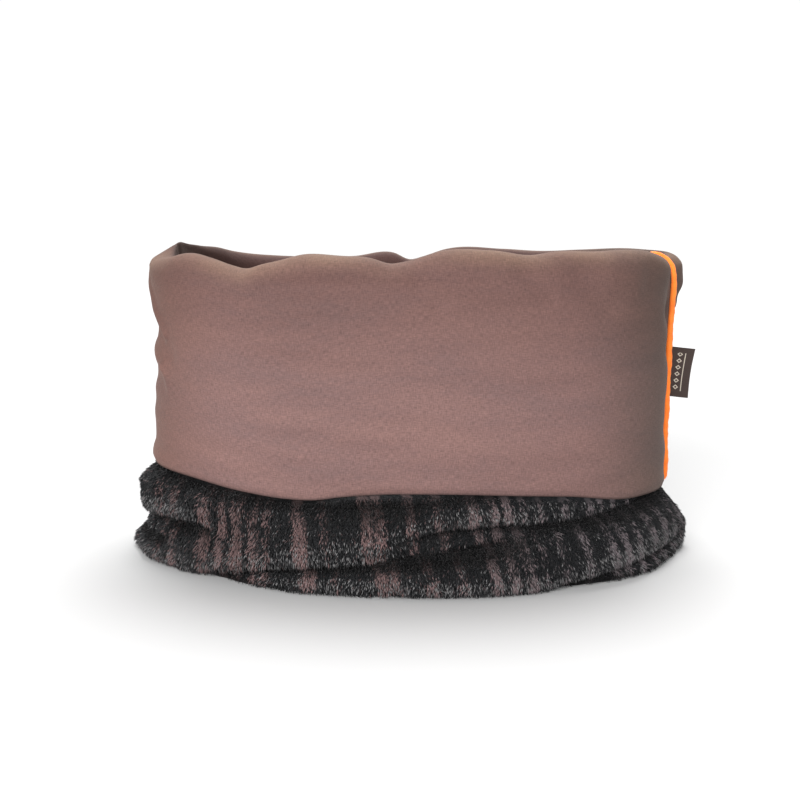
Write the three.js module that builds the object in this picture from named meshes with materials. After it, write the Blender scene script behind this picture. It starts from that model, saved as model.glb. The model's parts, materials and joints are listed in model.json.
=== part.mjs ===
// A plush snuggle sack (a large hand-warming muff with a closed foot), standing upright.
// The padded wall is three layers thick: woven shell, wadding and plush. Its mouth is turned down
// outside into a deep cuff, and the plush body below the cuff is slumped into three stacked folds.
// Millimetres, +Z up, +X towards the seam that carries the label, -Y the front.
// The origin is on the floor, at the middle of the foot.
import * as THREE from "three";

// ---- driving dimensions ----
const CUFF_HALF_WIDTH = 248; // outer face of the shell, seam to seam
const CUFF_HALF_DEPTH = 157; // outer face of the shell, front to back
const OVAL_POWER = 2.3; // superellipse power of the plan: 2 is an ellipse, more is boxier
const RIM_HEIGHT = 276; // crown of the rolled mouth
const HEM_HEIGHT = 80; // lower edge of the turned-down cuff
const SHELL = 1.5; // thickness of the woven shell
const WADDING = 6.7; // thickness of the wadding
const PLUSH = 4.05; // thickness of the knitted plush with its pile
const GAP = 0.3; // clearance between neighbouring layers
const PILE_GAP = 0.15; // half the slit where the cuff's pile meets the wall's pile

const FOLD_COUNT = 3;
const FOLD_CREST = 18; // how far a fold stands outside the cuff's outer face
const FOLD_CREASE = -6; // how far a crease lies inside it
const BASE_PLUSH = 4;
const BASE_WADDING = 9.7;

const PIPING_RADIUS = 3.5;
const PIPING_CORD_RADIUS = 2.5;
const LABEL_LENGTH = 48; // along the seam
const LABEL_DEPTH = 20; // out from the seam
const LABEL_HEIGHT = 138; // lower corner of the label
const LABEL_LEAN = THREE.MathUtils.degToRad(6); // its upper end leans away from the seam
const LABEL_PLY = 0.9;
const LABEL_SLIT = 0.2; // half the space between the label's two plies
const LABEL_CLEARANCE = 1.5; // from the piping, so that the label can swing

// ---- mesh fineness ----
const OVAL_STEPS = 20; // sweep steps along one panel
const RIM_STEPS = 8; // segments over the rolled mouth
const FOLD_STEPS = 6; // segments round one fold
const PIPING_SIDES = 8;

// ---- worked out from the above ----
// Distances in from the outer face of the cuff. The wall mirrors the cuff about the pile slit.
const SHELL_IN = SHELL;
const WADDING_OUT = SHELL_IN + GAP;
const WADDING_IN = WADDING_OUT + WADDING;
const PLUSH_OUT = WADDING_IN + GAP;
const PLUSH_IN = PLUSH_OUT + PLUSH;
const MIDDLE = PLUSH_IN + PILE_GAP;
const WALL_THICKNESS = 2 * MIDDLE;
const RIM_BEND_HEIGHT = RIM_HEIGHT - MIDDLE; // centre of the roll at the mouth
const FOLDS_TOP = HEM_HEIGHT - GAP;
const PIPING_OFFSET = PIPING_RADIUS + GAP; // centre line, out from the shell's face
const FLOOR_TOP = BASE_PLUSH + GAP + BASE_WADDING + GAP + SHELL;

// ---- materials ----
const cloth = (color, roughness) => new THREE.MeshStandardMaterial({ color, roughness, metalness: 0 });
const SHELL_FABRIC = cloth(0x99786f, 0.85);
const PLUSH_PILE = cloth(0x2c2b2e, 0.95);
const WADDING_FIBRE = cloth(0xe6e4de, 1.0);
const PIPING_FABRIC = cloth(0xf07a1e, 0.7);
const PIPING_CORE = cloth(0xdcd8cc, 0.9);
const LABEL_WEAVE = cloth(0x3a302d, 0.8);

const bag = new THREE.Group();

function addPiece(parent, name, geometry, material) {
  const mesh = new THREE.Mesh(geometry, material);
  mesh.name = name;
  parent.add(mesh);
  return mesh;
}

// ---- plan shape ----
const signedPower = (value, power) => Math.sign(value) * Math.abs(value) ** power;

function ovalPoint(angle, inset = 0) {
  const x = (CUFF_HALF_WIDTH - inset) * signedPower(Math.cos(angle), 2 / OVAL_POWER);
  const y = (CUFF_HALF_DEPTH - inset) * signedPower(Math.sin(angle), 2 / OVAL_POWER);
  return new THREE.Vector2(x, y);
}

// One panel's run round the plan, counterclockwise, stopping just short of the seam at each end.
class PanelPath extends THREE.Curve {
  constructor(startAngle) {
    super();
    const seamAngle = Math.asin((GAP / 2 / CUFF_HALF_DEPTH) ** (OVAL_POWER / 2));
    this.start = startAngle + seamAngle;
    this.sweep = Math.PI - 2 * seamAngle;
  }

  getPoint(t, target = new THREE.Vector3()) {
    const p = ovalPoint(this.start + t * this.sweep);
    return target.set(p.x, p.y, 0);
  }
}

const PANELS = { back: new PanelPath(0), front: new PanelPath(Math.PI) };

// Sweeps a wall section along a panel. Section points are [inset, height]: the sweep's own frame
// has its first axis pointing down and its second pointing in.
function sweepPanel(side, sectionPoints) {
  const shape = new THREE.Shape(sectionPoints.map(([inset, height]) => new THREE.Vector2(-height, inset)));
  return new THREE.ExtrudeGeometry(shape, { steps: OVAL_STEPS, extrudePath: PANELS[side] });
}

// ---- sections ----
// Points of the roll over the mouth at one radius, from the outer leg to the inner leg.
function rimArc(radius) {
  return Array.from({ length: RIM_STEPS + 1 }, (_, i) => {
    const a = (Math.PI * i) / RIM_STEPS;
    return [MIDDLE - radius * Math.cos(a), RIM_BEND_HEIGHT + radius * Math.sin(a)];
  });
}

// A layer that goes up the cuff, over the mouth and down the wall, between two insets.
function hairpin(outerInset, innerInset) {
  const over = rimArc(MIDDLE - outerInset);
  const under = rimArc(MIDDLE - innerInset).reverse();
  return [
    [outerInset, HEM_HEIGHT],
    ...over,
    [WALL_THICKNESS - outerInset, HEM_HEIGHT],
    [WALL_THICKNESS - innerInset, HEM_HEIGHT],
    ...under,
    [innerInset, HEM_HEIGHT],
  ];
}

// The slumped plush: a stack of round folds outside, flat inside where it meets the wadding.
function foldedStack() {
  const halfHeight = FOLDS_TOP / FOLD_COUNT / 2;
  const inner = WALL_THICKNESS - PLUSH_OUT;
  const points = [[inner, 0]];
  for (let fold = 0; fold < FOLD_COUNT; fold++) {
    const middle = (2 * fold + 1) * halfHeight;
    for (let i = fold === 0 ? 0 : 1; i <= FOLD_STEPS; i++) {
      const a = (Math.PI * i) / FOLD_STEPS - Math.PI / 2;
      const out = FOLD_CREASE + (FOLD_CREST - FOLD_CREASE) * Math.cos(a);
      points.push([-out, middle + halfHeight * Math.sin(a)]);
    }
  }
  points.push([inner, FOLDS_TOP]);
  return points;
}

function upright(outerInset, innerInset, bottom) {
  return [
    [outerInset, bottom],
    [outerInset, FOLDS_TOP],
    [innerInset, FOLDS_TOP],
    [innerInset, bottom],
  ];
}

// ---- the cuff and the wall behind it ----
function makeCuff() {
  const cuff = new THREE.Group();
  for (const side of ["front", "back"]) {
    addPiece(cuff, `shell_${side}`, sweepPanel(side, hairpin(0, SHELL_IN)), SHELL_FABRIC);
    addPiece(cuff, `wadding_${side}`, sweepPanel(side, hairpin(WADDING_OUT, WADDING_IN)), WADDING_FIBRE);
    addPiece(cuff, `plush_wall_${side}`, sweepPanel(side, hairpin(PLUSH_OUT, PLUSH_IN)), PLUSH_PILE);
  }
  return cuff;
}

// ---- the slumped body ----
function makeFolds() {
  const folds = new THREE.Group();
  const waddingBottom = BASE_PLUSH + GAP + BASE_WADDING + GAP;
  const shellBottom = FLOOR_TOP + GAP;
  for (const side of ["front", "back"]) {
    addPiece(folds, `plush_folds_${side}`, sweepPanel(side, foldedStack()), PLUSH_PILE);
    const wadding = upright(WALL_THICKNESS - WADDING_IN, WALL_THICKNESS - WADDING_OUT, waddingBottom);
    addPiece(folds, `folds_wadding_${side}`, sweepPanel(side, wadding), WADDING_FIBRE);
    const lining = upright(WALL_THICKNESS - SHELL_IN, WALL_THICKNESS, shellBottom);
    addPiece(folds, `pocket_lining_${side}`, sweepPanel(side, lining), SHELL_FABRIC);
  }
  return folds;
}

// ---- the foot: three flat ovals ----
// The panel paths give the oval's corners, so that it clears the swept walls everywhere.
function ovalSlab(inset, thickness) {
  const corners = [];
  for (const side of ["back", "front"]) {
    const path = PANELS[side];
    for (let i = 0; i < OVAL_STEPS; i++) {
      const at = path.getPointAt(i / OVAL_STEPS);
      const along = path.getTangentAt(i / OVAL_STEPS);
      corners.push(new THREE.Vector2(at.x - along.y * inset, at.y + along.x * inset));
    }
  }
  return new THREE.ExtrudeGeometry(new THREE.Shape(corners), { depth: thickness, bevelEnabled: false });
}

function makeFoot() {
  const foot = new THREE.Group();
  const plushInset = WALL_THICKNESS - PLUSH_OUT + GAP;
  const floorInset = WALL_THICKNESS - WADDING_OUT + GAP;
  addPiece(foot, "base_plush", ovalSlab(plushInset, BASE_PLUSH), PLUSH_PILE);
  const wadding = addPiece(foot, "base_wadding", ovalSlab(plushInset, BASE_WADDING), WADDING_FIBRE);
  wadding.position.z = BASE_PLUSH + GAP;
  const floor = addPiece(foot, "pocket_floor", ovalSlab(floorInset, SHELL), SHELL_FABRIC);
  floor.position.z = FLOOR_TOP - SHELL;
  return foot;
}

// ---- piping ----
// Up the right seam outside the cuff, over the mouth and down inside the pocket, in the plane Y = 0.
// Even steps of t end on the corners of the roll, so that the piping follows the shell's facets.
// The left end of the sack has a plain seam with no piping.
const SEAM_STEPS = RIM_STEPS + 2;

class SeamPath extends THREE.Curve {
  getPoint(t, target = new THREE.Vector3()) {
    const step = t * SEAM_STEPS;
    const a = (Math.PI * Math.min(Math.max(step - 1, 0), RIM_STEPS)) / RIM_STEPS;
    const upLeg = Math.max(1 - step, 0);
    const downLeg = Math.max(step - 1 - RIM_STEPS, 0);
    const radius = MIDDLE + PIPING_OFFSET;
    const inset = MIDDLE - radius * Math.cos(a);
    const drop = (upLeg + downLeg) * (RIM_BEND_HEIGHT - HEM_HEIGHT);
    const height = RIM_BEND_HEIGHT + radius * Math.sin(a) - drop;
    return target.set(CUFF_HALF_WIDTH - inset, 0, height);
  }

  getUtoTmapping(u) {
    return u;
  }
}

function ringShape(radius, holeRadius) {
  const circle = (r) =>
    Array.from({ length: PIPING_SIDES }, (_, i) => {
      const a = (2 * Math.PI * i) / PIPING_SIDES;
      return new THREE.Vector2(r * Math.cos(a), r * Math.sin(a));
    });
  const shape = new THREE.Shape(circle(radius));
  if (holeRadius) shape.holes.push(new THREE.Path(circle(holeRadius)));
  return shape;
}

function makePiping() {
  const piping = new THREE.Group();
  const cover = ringShape(PIPING_RADIUS, PIPING_CORD_RADIUS + GAP);
  const cord = ringShape(PIPING_CORD_RADIUS);
  const seam = { steps: SEAM_STEPS, extrudePath: new SeamPath() };
  addPiece(piping, "piping_cover", new THREE.ExtrudeGeometry(cover, seam), PIPING_FABRIC);
  addPiece(piping, "piping_cord", new THREE.ExtrudeGeometry(cord, seam), PIPING_CORE);

  const straight = { depth: FOLDS_TOP - FLOOR_TOP - GAP, bevelEnabled: false };
  const lower = new THREE.Group();
  addPiece(lower, "lower_piping_cover", new THREE.ExtrudeGeometry(cover, straight), PIPING_FABRIC);
  addPiece(lower, "lower_piping_cord", new THREE.ExtrudeGeometry(cord, straight), PIPING_CORE);
  lower.position.set(CUFF_HALF_WIDTH - WALL_THICKNESS - PIPING_OFFSET, 0, FLOOR_TOP + GAP);
  piping.add(lower);
  return piping;
}

// ---- the label: one ribbon folded into a loop, open at the seam ----
function makeLabel() {
  const half = LABEL_SLIT + LABEL_PLY;
  const foldAt = LABEL_DEPTH - half;
  const shape = new THREE.Shape();
  shape.moveTo(0, -half);
  shape.lineTo(foldAt, -half);
  shape.absarc(foldAt, 0, half, -Math.PI / 2, Math.PI / 2, false);
  shape.lineTo(0, half);
  shape.lineTo(0, LABEL_SLIT);
  shape.lineTo(foldAt, LABEL_SLIT);
  shape.absarc(foldAt, 0, LABEL_SLIT, Math.PI / 2, -Math.PI / 2, true);
  shape.lineTo(0, -LABEL_SLIT);
  const ribbon = { depth: LABEL_LENGTH, bevelEnabled: false, curveSegments: FOLD_STEPS };
  const label = new THREE.Group();
  addPiece(label, "woven_label", new THREE.ExtrudeGeometry(shape, ribbon), LABEL_WEAVE);
  const pipingFace = CUFF_HALF_WIDTH + PIPING_OFFSET + PIPING_RADIUS;
  label.position.set(pipingFace + LABEL_CLEARANCE, 0, LABEL_HEIGHT);
  label.rotation.y = LABEL_LEAN;
  return label;
}

bag.add(makeCuff(), makeFolds(), makeFoot());
bag.add(makePiping());
bag.add(makeLabel());

export default bag;
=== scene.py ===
import json
import math

import bpy
import numpy as np
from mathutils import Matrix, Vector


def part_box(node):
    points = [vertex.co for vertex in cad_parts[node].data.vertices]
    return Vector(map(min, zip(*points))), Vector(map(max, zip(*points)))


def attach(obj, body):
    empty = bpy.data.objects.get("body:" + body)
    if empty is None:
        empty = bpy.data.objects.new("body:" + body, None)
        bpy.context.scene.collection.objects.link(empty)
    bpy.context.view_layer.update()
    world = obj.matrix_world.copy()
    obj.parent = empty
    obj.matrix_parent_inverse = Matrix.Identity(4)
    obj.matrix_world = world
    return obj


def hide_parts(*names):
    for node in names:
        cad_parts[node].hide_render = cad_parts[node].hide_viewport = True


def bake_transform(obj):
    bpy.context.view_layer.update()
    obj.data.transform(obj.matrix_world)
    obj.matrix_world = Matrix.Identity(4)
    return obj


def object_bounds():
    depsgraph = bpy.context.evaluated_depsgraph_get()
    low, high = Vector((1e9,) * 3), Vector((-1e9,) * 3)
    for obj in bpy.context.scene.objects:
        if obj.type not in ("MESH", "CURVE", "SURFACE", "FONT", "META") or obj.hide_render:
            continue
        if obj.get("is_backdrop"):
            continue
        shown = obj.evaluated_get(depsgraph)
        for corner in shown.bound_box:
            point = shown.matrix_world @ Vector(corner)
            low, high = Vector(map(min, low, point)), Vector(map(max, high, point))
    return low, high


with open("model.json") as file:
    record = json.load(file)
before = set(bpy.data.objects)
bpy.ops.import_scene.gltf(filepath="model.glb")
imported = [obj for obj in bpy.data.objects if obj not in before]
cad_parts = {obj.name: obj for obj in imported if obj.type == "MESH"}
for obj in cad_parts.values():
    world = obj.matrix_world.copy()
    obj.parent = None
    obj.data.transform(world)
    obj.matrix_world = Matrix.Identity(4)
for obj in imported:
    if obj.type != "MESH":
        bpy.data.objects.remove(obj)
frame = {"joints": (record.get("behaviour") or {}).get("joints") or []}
cad_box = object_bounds()

# ---- sizes, in metres ----
MM = 0.001
shell_low, shell_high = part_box("shell_front")
HALF_WIDTH = shell_high.x
HALF_DEPTH = -shell_low.y
RIM = shell_high.z
FLOOR_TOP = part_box("pocket_floor")[1].z
SHELL = 1.5 * MM  # the woven cloth, with its nap
WADDING_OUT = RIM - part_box("wadding_front")[1].z  # layers, counted in from the shell's face
PLUSH_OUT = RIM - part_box("plush_wall_front")[1].z
GAP = WADDING_OUT - SHELL
WALL = HALF_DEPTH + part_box("pocket_lining_front")[0].y + SHELL  # thickness of the doubled wall
MIDDLE = WALL / 2
PIPING_RADIUS = (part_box("piping_cover")[1].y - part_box("piping_cover")[0].y) / 2
PIPING_CLOTH = 0.7 * MM
PIPING_SUNK = 0.85 * MM  # how far the piping sits down into its seam
RIBBON = 0.45 * MM  # the label's ribbon
LOWEST = 0.8 * MM  # the plush's cloth keeps this far above the floor, because of its pile
OVAL_POWER = 2.3  # 2 is an ellipse, more is boxier

CAMERA_DISTANCE = 1.0
CAMERA_HEIGHT = 0.296
CAMERA_SIDE = -0.012
CAMERA_PITCH = math.radians(9.16)  # below level
CAMERA_LENS = 46.9


# ---- the sack's plan: an oval, walked counterclockwise from the left seam, front first ----
def signed_power(value, power):
    return np.sign(value) * np.abs(value) ** power


def measure_oval():
    angle = np.linspace(0, 2 * np.pi, 14401)
    x = -HALF_WIDTH * signed_power(np.cos(angle), 2 / OVAL_POWER)
    y = -HALF_DEPTH * signed_power(np.sin(angle), 2 / OVAL_POWER)
    walked = np.concatenate([[0], np.cumsum(np.hypot(np.diff(x), np.diff(y)))])
    even = np.linspace(0, walked[-1], 2401)
    x, y = np.interp(even, walked, x), np.interp(even, walked, y)
    along_x, along_y = np.gradient(x), np.gradient(y)
    along_x[[0, -1]], along_y[[0, -1]] = 0, -1
    length = np.hypot(along_x, along_y)
    return even, x, y, along_y / length, -along_x / length


PLAN = measure_oval()
ROUND = PLAN[0][-1]  # the whole way round
RIGHT = ROUND / 2  # the piped seam; the left seam is at 0 and at ROUND


def plan(walk):
    """Point and outward direction on the oval, as x, y, out_x, out_y."""
    walk = np.mod(walk, ROUND)
    return [np.interp(walk, PLAN[0], column) for column in PLAN[1:]]


def apart(walk, place):
    """Signed distance round the oval from place."""
    return np.mod(walk - place + ROUND / 2, ROUND) - ROUND / 2


def bump(distance, reach):
    return np.exp(-((distance / reach) ** 2))


def ease(value, low, high):
    t = np.clip((value - low) / (high - low), 0, 1)
    return t * t * (3 - 2 * t)


def closed_curve(*knots):
    """A smooth closed curve through (walk, value) knots in millimetres, as a function of metres."""
    at, value = (MM * np.array(column) for column in zip(*knots))
    at = np.concatenate([at - ROUND, at, at + ROUND])
    value = np.tile(value, 3)
    slope = np.gradient(value, at)

    def curve(walk):
        walk = np.mod(walk, ROUND)
        i = np.searchsorted(at, walk, side="right") - 1
        step = at[i + 1] - at[i]
        t = (walk - at[i]) / step
        level = value[i] + (value[i + 1] - value[i]) * t * t * (3 - 2 * t)
        return level + step * t * (1 - t) * ((1 - t) * slope[i] - t * slope[i + 1])

    return curve


# ---- how the cuff stands ----
rim_height = closed_curve(
    (10, 271), (45, 271), (84, 274), (120, 277.5), (146, 273), (165, 268.5), (183, 266), (198, 270),
    (213, 273), (236, 278), (269, 276.5), (292, 275), (311, 270.5), (326, 274), (354, 281),
    (394, 280.5), (431, 276.5), (448, 279), (492, 280), (522, 281.5), (552, 281), (585, 275),
    (612, 270), (636, 270.5), (664, 274), (720, 279), (800, 278), (847, 276), (887, 278.5),
    (952, 278), (977, 270), (991, 267), (1009, 273.5), (1054, 270), (1140, 271.5), (1195, 276),
    (1215, 280), (1250, 279), (1290, 272),
)
hem_height = closed_curve(
    (0, 83), (60, 85), (117, 84), (180, 77), (222, 73.5), (243, 73.5), (270, 77), (300, 79.5),
    (345, 80), (420, 77), (465, 73.5), (523, 65.5), (565, 64.5), (600, 64), (630, 61), (660, 56),
    (720, 60), (820, 70), (950, 76), (1100, 77), (1230, 79),
)

PEAK = -12 * MM  # the tented corner of the mouth, a little behind the left seam


def wall_sway(walk, height):
    """How far the whole wall leans out of the oval."""
    left, right = apart(walk, 0), apart(walk, RIGHT)
    top = ease(height, 0.235, 0.275)
    sway = 2 * MM * bump(left, 0.06) * top
    sway -= 9 * MM * bump(left, 0.09) * bump(height - 0.2, 0.072)
    sway += 2 * MM * bump(left, 0.1) * ease(height, 0.11, 0.08)
    sway -= 1.5 * MM * bump(right, 0.12) * ease(height, 0.2, 0.1)
    # the cloth is drawn flat up to the piped seam, less so near its hem
    sway -= 11 * MM * bump(right + 0.036, 0.03) * (0.5 + 0.5 * ease(height, 0.07, 0.13))
    sway += 21 * MM * bump(right - 0.031, 0.02) * ease(height, 0.18, 0.25)
    sway -= 5 * MM * bump(right + 0.003, 0.024) * ease(height, 0.25, 0.284)
    sway += 3 * MM * bump(apart(walk, 0.45), 0.1) * bump(height - 0.12, 0.05)
    sway -= 3 * MM * bump(apart(walk, 0.2), 0.07) * top
    return sway


def ridge(walk, height, start, end, width, rise):
    """A soft ridge along a line from start to end, in millimetres; a dent if rise is below 0."""
    (w0, z0), (w1, z1) = MM * np.array(start, float), MM * np.array(end, float)
    across, up = apart(walk, w0), height - z0
    length = math.hypot(w1 - w0, z1 - z0)
    along = np.clip((across * (w1 - w0) + up * (z1 - z0)) / length**2, 0, 1)
    away = np.hypot(across - along * (w1 - w0), up - along * (z1 - z0))
    return MM * rise * bump(away, MM * width)


def ripples(walk, height, seed, count, turns, waves, size):
    """Long low waves that lie nearly level: turns is how many go round, waves how high each is."""
    rng = np.random.default_rng(seed)
    total = 0
    for _ in range(count):
        around = rng.integers(*turns) * 2 * math.pi / ROUND
        upward = 2 * math.pi / rng.uniform(*waves) * rng.choice([-1, 1])
        total = total + np.sin(around * walk + upward * height + rng.uniform(0, 2 * math.pi))
    return MM * size * total / math.sqrt(count)


def outer_relief(walk, height):
    """Folds and puffs of the cuff's outer face."""
    relief = ripples(walk, height, 5, 9, (1, 6), (0.03, 0.09), 0.7)
    relief += ripples(walk, height, 9, 8, (4, 12), (0.015, 0.035), 0.42)
    # slack cloth pushed up at the left end
    relief += ridge(walk, height, (8, 262), (85, 206), 6, 4)
    relief += ridge(walk, height, (24, 232), (96, 190), 11, -3)
    relief += ridge(walk, height, (14, 196), (84, 178), 6, 3.5)
    relief += ridge(walk, height, (84, 178), (92, 160), 6, 2)
    # hollows under the mouth's roll
    relief += ridge(walk, height, (205, 250), (330, 251), 11, -3.5)
    relief += ridge(walk, height, (330, 268), (350, 240), 9, -2.5)
    relief += ridge(walk, height, (420, 262), (440, 246), 9, -2)
    relief += ridge(walk, height, (470, 258), (496, 236), 13, -2.5)
    relief += ridge(walk, height, (500, 254), (524, 247), 13, 2.5)
    relief += ridge(walk, height, (548, 258), (590, 240), 15, -3)
    relief += ridge(walk, height, (590, 226), (645, 222), 14, -3)
    relief += ridge(walk, height, (600, 195), (650, 188), 13, -2.5)
    # puckers along the piped seam
    seam = apart(walk, RIGHT)
    for place, depth in ((268, 2.5), (231, 3), (193, 2.5), (158, 1.5), (122, 2.5), (92, 1.5)):
        relief += ridge(walk, height, (632, place - 3), (660, place), 6, -depth)
        relief += ridge(walk, height, (660, place), (690, place + 4), 7, -depth * 0.7)
    relief *= 1 - bump(seam, 0.012)  # the piping's seam itself lies smooth
    relief -= 1 * MM * bump(seam, 0.007)
    relief -= 1.5 * MM * bump(apart(walk, 0), 0.005)
    relief -= 2 * MM * ease(height - hem_height(walk), 0.006, 0)
    return relief


def inner_relief(walk, height):
    """Folds of the pocket's wall: slack cloth, with upright drags below the rim."""
    relief = ripples(walk, height, 21, 8, (4, 14), (0.12, 0.4), 1.5)
    relief += ripples(walk, height, 22, 6, (2, 6), (0.05, 0.1), 1.0)
    seam = apart(walk, RIGHT)
    relief *= 1 - bump(seam, 0.012)
    relief -= 1 * MM * bump(seam, 0.008)
    relief -= 1.5 * MM * bump(apart(walk, 0), 0.006)
    return relief


def wall_points(walk, stage, inset, folded=True):
    """Points of the wall. stage runs 0 to 1 up the cuff from its hem, 1 to 2 over the mouth's roll and
    2 to 3 down inside to the pocket's floor. inset is counted in from the face of the cloth. folded
    adds the cloth's own folds and dents."""
    walk, stage = np.broadcast_arrays(walk, stage)
    turn = np.pi * np.clip(stage - 1, 0, 1)
    bend = rim_height(walk) - MIDDLE
    up = (1 - np.clip(stage, 0, 1)) * (bend - hem_height(walk))
    down = np.clip(stage - 2, 0, 1) * (bend - FLOOR_TOP)
    radius = MIDDLE - inset
    corner = bump(apart(walk, PEAK), 0.055)
    boxiness = 2 / (2 + 6 * corner)  # the roll is folded flat at the tented corner
    inward = MIDDLE - radius * signed_power(np.cos(turn), boxiness)
    height = bend - up - down + radius * signed_power(np.sin(turn), boxiness)

    share = 1 - inset / MIDDLE
    side = np.cos(turn)
    outer = outer_relief(walk, height) * ease(stage, 1.75, 1.35)
    inner = inner_relief(walk, height) * ease(stage, 1.4, 1.9) * ease(height, FLOOR_TOP, 0.06)
    relief = share * (outer + inner) * folded

    over = np.where(stage < 2, inward / (2 * MIDDLE), bump(down, 0.07))
    height = height + 17 * MM * corner * over * ease(down, 0.06, 0) + relief * np.sin(turn)

    x, y, out_x, out_y = plan(walk)
    out = wall_sway(walk, height) + relief * side - inward
    return np.stack([x + out_x * out, y + out_y * out, height], axis=-1)


# ---- how the plush body slumps ----
# Each crease is a line of (walk, height) with its depth; the roll above hangs over the roll below it.
CREASES = [
    # the long crease that climbs from the left front to the middle
    (closed_curve((0, 8), (130, 5), (168, 8), (209, 14), (254, 19), (300, 23), (344, 27), (390, 37),
                  (430, 44), (520, 48), (660, 40), (900, 30), (1100, 22), (1250, 12)),
     closed_curve((0, 0), (135, 0), (165, 9), (200, 16), (250, 21), (350, 21), (385, 14), (420, 3),
                  (445, 0), (760, 0), (840, 11), (980, 16), (1100, 15), (1200, 6), (1240, 0))),
    # the upper right crease, which runs up under the hem
    (closed_curve((0, 34), (200, 36), (300, 41), (330, 44), (345, 47), (385, 51), (444, 52),
                  (485, 52), (528, 55), (575, 60), (610, 62), (660, 59), (800, 57), (1000, 52),
                  (1200, 40)),
     closed_curve((0, 0), (290, 0), (318, 5), (345, 14), (385, 19), (500, 19), (560, 15), (610, 12),
                  (680, 9), (760, 9), (850, 14), (1000, 13), (1080, 3), (1120, 0), (1300, 0))),
    # the lower right crease, close to the floor
    (closed_curve((0, 6), (400, 3), (440, 4), (459, 6), (485, 9), (520, 13), (560, 15), (600, 17),
                  (660, 20), (760, 20), (900, 12), (1100, 6)),
     closed_curve((0, 0), (430, 0), (460, 8), (500, 15), (560, 14), (590, 8), (625, 0), (700, 0),
                  (740, 10), (830, 9), (890, 0), (1200, 0))),
    # the two creases that wrap the left end
    (closed_curve((0, 39), (60, 39), (80, 40), (108, 43), (132, 44), (160, 43), (300, 40), (1000, 42),
                  (1100, 44), (1220, 40), (1280, 38)),
     closed_curve((0, 17), (60, 17), (108, 15), (138, 8), (170, 0), (300, 0), (1000, 0), (1090, 9),
                  (1180, 15), (1260, 18))),
    (closed_curve((0, 20), (60, 21), (85, 24), (110, 28), (140, 30), (400, 22), (1000, 20), (1160, 22),
                  (1260, 20)),
     closed_curve((0, 13), (60, 13), (88, 9), (118, 0), (300, 0), (1000, 0), (1120, 0), (1180, 8),
                  (1260, 13))),
    # a slight one just under the hem in front
    (closed_curve((0, 68), (250, 67), (300, 69), (360, 70), (400, 69), (700, 68), (1000, 68)),
     closed_curve((0, 0), (235, 0), (270, 5), (340, 5), (380, 0), (700, 0), (1000, 0), (1200, 0))),
]
upper_bulge = closed_curve(
    (0, 4), (40, 10), (80, 9), (130, 8), (220, 9), (330, 10), (450, 9), (550, 3), (590, -1), (620, -5),
    (650, -6), (700, -3), (760, 1), (900, 8), (1100, 9), (1200, 5), (1260, -2), (1295, -2),
)
lower_bulge = closed_curve(
    (0, 16), (60, 16), (130, 13), (165, 16), (210, 23), (270, 28), (340, 31), (400, 30), (460, 25),
    (520, 21), (575, 11), (600, 10), (625, 11.5), (660, 4), (760, 9), (900, 15), (1100, 15), (1200, 9),
    (1290, 8),
)


def creases(walk, height):
    """The height above each crease, and how deep it is there. A crease is sewn in above the place where
    it shows, because the roll over it hangs down by half of its depth."""
    for line, depth in CREASES:
        deep = np.clip(depth(walk), 0, None)
        yield height - line(walk) - 0.5 * deep, deep


FOLDS_HIDDEN = 9 * MM  # how far the plush goes on up behind the hem


def fold_points(walk, share):
    """Points of the slumped plush body's face. share is 0 at its top, behind the hem, and 1 where it
    turns in under the sack."""
    walk, share = np.broadcast_arrays(walk, share)
    hem = hem_height(walk)
    top = hem + FOLDS_HIDDEN
    height = top * (1 - share)
    tucked = 7 * MM * bump(apart(walk, 0), 0.1)  # at the left end the hem hides more of the plush
    belly = ease(height, hem + 4 * MM - tucked, hem - 13 * MM - tucked)
    heel = np.sqrt(np.clip(1 - (1 - np.clip(height / (11 * MM), 0, 1)) ** 2, 0, 1))
    bulge = lower_bulge(walk) + (upper_bulge(walk) - lower_bulge(walk)) * ease(height, 0.02, 0.06)
    out = -6 * MM + (bulge + 6 * MM) * belly - 9 * MM * (1 - heel)
    out = out - 8 * MM * bump(apart(walk, 0), 0.06) * bump(height - 0.033, 0.01)
    droop = 0
    for above, deep in creases(walk, height):
        groove = np.where(above > 0, bump(above, 4 * MM), bump(above, 11 * MM))
        out = out - 1.3 * deep * groove
        droop = droop + 0.5 * deep * bump(above - 5 * MM, 4.5 * MM)
    out = out + ripples(walk, height, 31, 8, (8, 30), (0.03, 0.1), 0.9) * belly
    out = out + ripples(walk, height, 32, 8, (30, 90), (0.012, 0.04), 0.4) * belly
    height = np.clip(height - droop * ease(height, 0, 0.012), LOWEST, None)
    x, y, out_x, out_y = plan(walk)
    out = out + wall_sway(walk, hem) * ease(height, 0.03, 0.08)
    return np.stack([x + out_x * out, y + out_y * out, height], axis=-1)


def pile_opening(walk, share):
    """How open the pile stands: near 1 along the swell above a crease or the floor, where the cloth
    turns under, and below 0 down in a crease."""
    walk, share = np.broadcast_arrays(walk, share)
    height = (hem_height(walk) + FOLDS_HIDDEN) * (1 - share)
    # the material paints shade where this runs low, close to the floor and down in a crease, and more
    # pale tips as a painted highlight where it runs high
    opening = bump(height - 11 * MM, 6 * MM) - 1.4 * ease(height, 8 * MM, 3 * MM)
    for above, deep in creases(walk, height):
        strength = np.clip(deep / (14 * MM), 0, 1)
        opening = opening + strength * (bump(above - 8 * MM, 5 * MM) - 1.3 * bump(above, 4.5 * MM))
        opening = opening - 0.6 * strength * bump(above + 8 * MM, 7 * MM)
    return np.clip(opening, -1, 1)


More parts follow.
